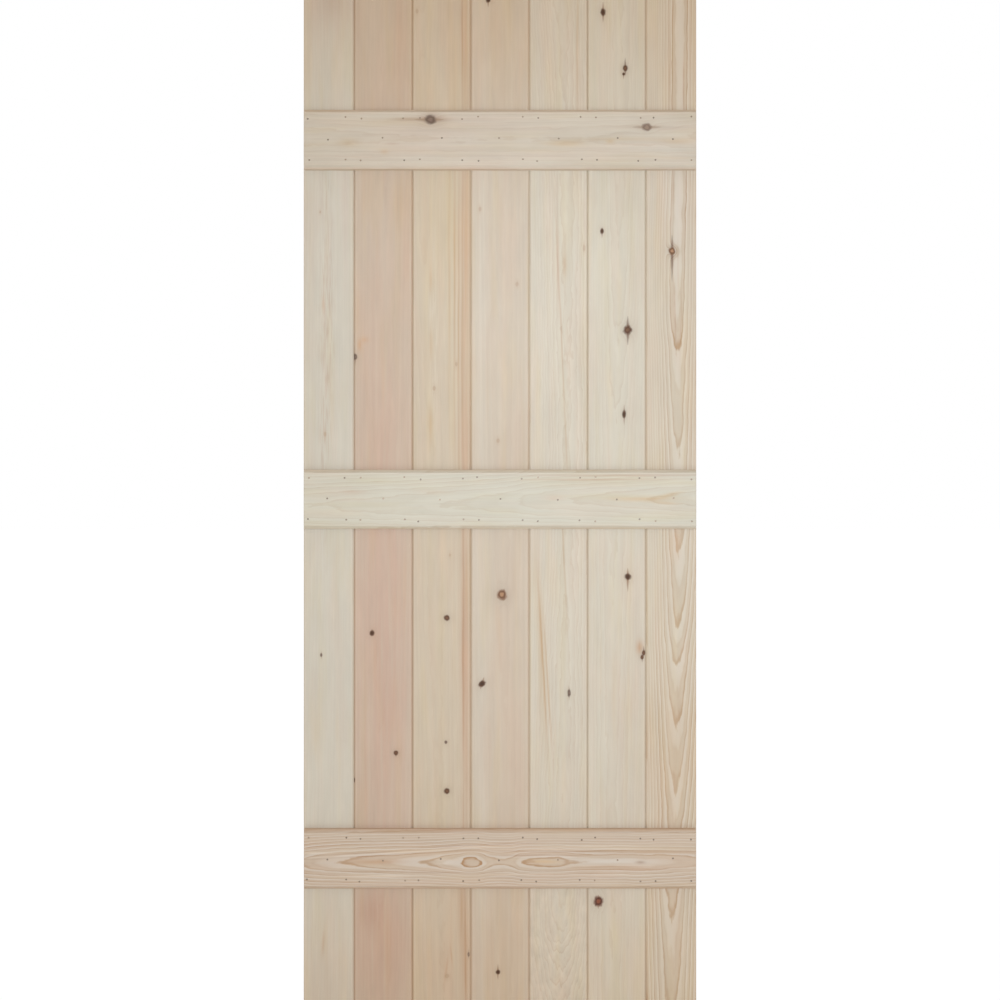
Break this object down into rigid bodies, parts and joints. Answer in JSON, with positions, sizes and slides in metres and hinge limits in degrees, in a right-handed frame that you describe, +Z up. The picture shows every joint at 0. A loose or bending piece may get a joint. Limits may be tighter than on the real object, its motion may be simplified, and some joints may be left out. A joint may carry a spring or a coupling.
{
  "type": "ledged plank barn door",
  "caption": "Bare pine plank door: vertical tongued and grooved boards with V joints, nailed to bevelled horizontal ledges across one side, ready to hang.",
  "frame": {"origin": "middle of the bottom edge, at half the width and half the whole thickness", "axes": "+Z up the door, +X across its width, +Y through its thickness from the ledged side to the plain side"},
  "size_m": [0.762, 0.035, 1.981],
  "materials": {
    "plank_sapwood": "bare planed pine, pale sapwood",
    "plank_heartwood": "bare planed pine, pink heartwood",
    "plank_mixed": "bare planed pine, sapwood with heartwood stripes",
    "ledge": "bare planed pine, grain across the door",
    "nail": "dull steel wire, punched below the face"
  },
  "bodies": {
    "root": {"plank_1": "plank_sapwood", "plank_2": "plank_heartwood", "plank_3": "plank_mixed", "plank_4": "plank_mixed", "plank_5": "plank_sapwood", "plank_6": "plank_sapwood", "plank_7": "plank_mixed", "top_ledge": "ledge", "middle_ledge": "ledge", "bottom_ledge": "ledge", "top_ledge_nails": "nail", "middle_ledge_nails": "nail", "bottom_ledge_nails": "nail"}
  },
  "joints": []
}
